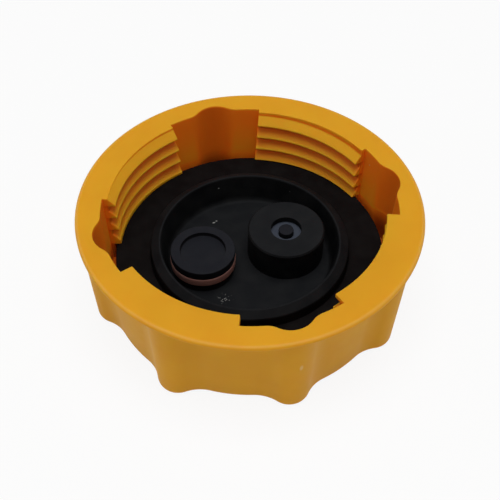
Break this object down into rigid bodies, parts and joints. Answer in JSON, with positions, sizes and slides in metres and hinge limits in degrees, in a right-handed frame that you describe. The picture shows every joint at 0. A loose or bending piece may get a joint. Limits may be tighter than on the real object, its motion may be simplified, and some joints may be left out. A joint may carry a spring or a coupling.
{
  "type": "radiator cap",
  "caption": "Screw cap for an expansion tank or radiator neck: lobed round grip, internal buttress thread in blocks, and an insert with a gasket, pressure valve and vacuum valve.",
  "frame": {"origin": "Centre of the closed top's outer face, on which the cap lies.", "axes": "+Z is the cap's axis and points out of the open end, towards the filler neck. +X runs from the cap's axis through the pressure valve, and through a grip lobe with a vent gap behind it."},
  "size_m": [0.0848, 0.0848, 0.029],
  "materials": {
    "cap_shell": "satin moulded polyamide, yellow-orange, lightly scuffed",
    "valve_carrier": "satin moulded black polyamide with pale dust specks",
    "neck_gasket": "matte black rubber",
    "pressure_poppet": "moulded black plastic",
    "pressure_seal": "grey-blue moulded rubber",
    "pressure_spring": "bare spring steel wire",
    "pressure_spring_seat": "moulded black plastic",
    "vacuum_poppet": "moulded black plastic",
    "vacuum_seal": "dark brown moulded rubber",
    "vacuum_spring": "bare spring steel wire",
    "vacuum_spring_washer": "plain stamped steel",
    "vacuum_clip": "plain stamped steel"
  },
  "bodies": {
    "shell": {"cap_shell": "cap_shell"},
    "insert": {"valve_carrier": "valve_carrier", "neck_gasket": "neck_gasket", "pressure_spring": "pressure_spring", "pressure_spring_seat": "pressure_spring_seat", "vacuum_spring": "vacuum_spring"},
    "pressure_valve": {"pressure_poppet": "pressure_poppet", "pressure_seal": "pressure_seal"},
    "vacuum_valve": {"vacuum_poppet": "vacuum_poppet", "vacuum_seal": "vacuum_seal", "vacuum_spring_washer": "vacuum_spring_washer", "vacuum_clip": "vacuum_clip"}
  },
  "joints": [
    {"name": "insert_turn", "type": "hinge", "parent": "shell", "child": "insert", "pos_m": [0, 0, 0.011], "axis": [0, 0, 1], "continuous": true},
    {"name": "pressure_valve_slide", "type": "slide", "parent": "insert", "child": "pressure_valve", "axis": [0, 0, -1], "range_m": [0, 0.0015], "stiffness_N_per_m": 1500, "springref_m": -0.003, "deforming": ["pressure_spring"]},
    {"name": "vacuum_valve_slide", "type": "slide", "parent": "insert", "child": "vacuum_valve", "axis": [0, 0, 1], "range_m": [0, 0.0012], "stiffness_N_per_m": 150, "springref_m": -0.002, "deforming": ["vacuum_spring"]}
  ]
}
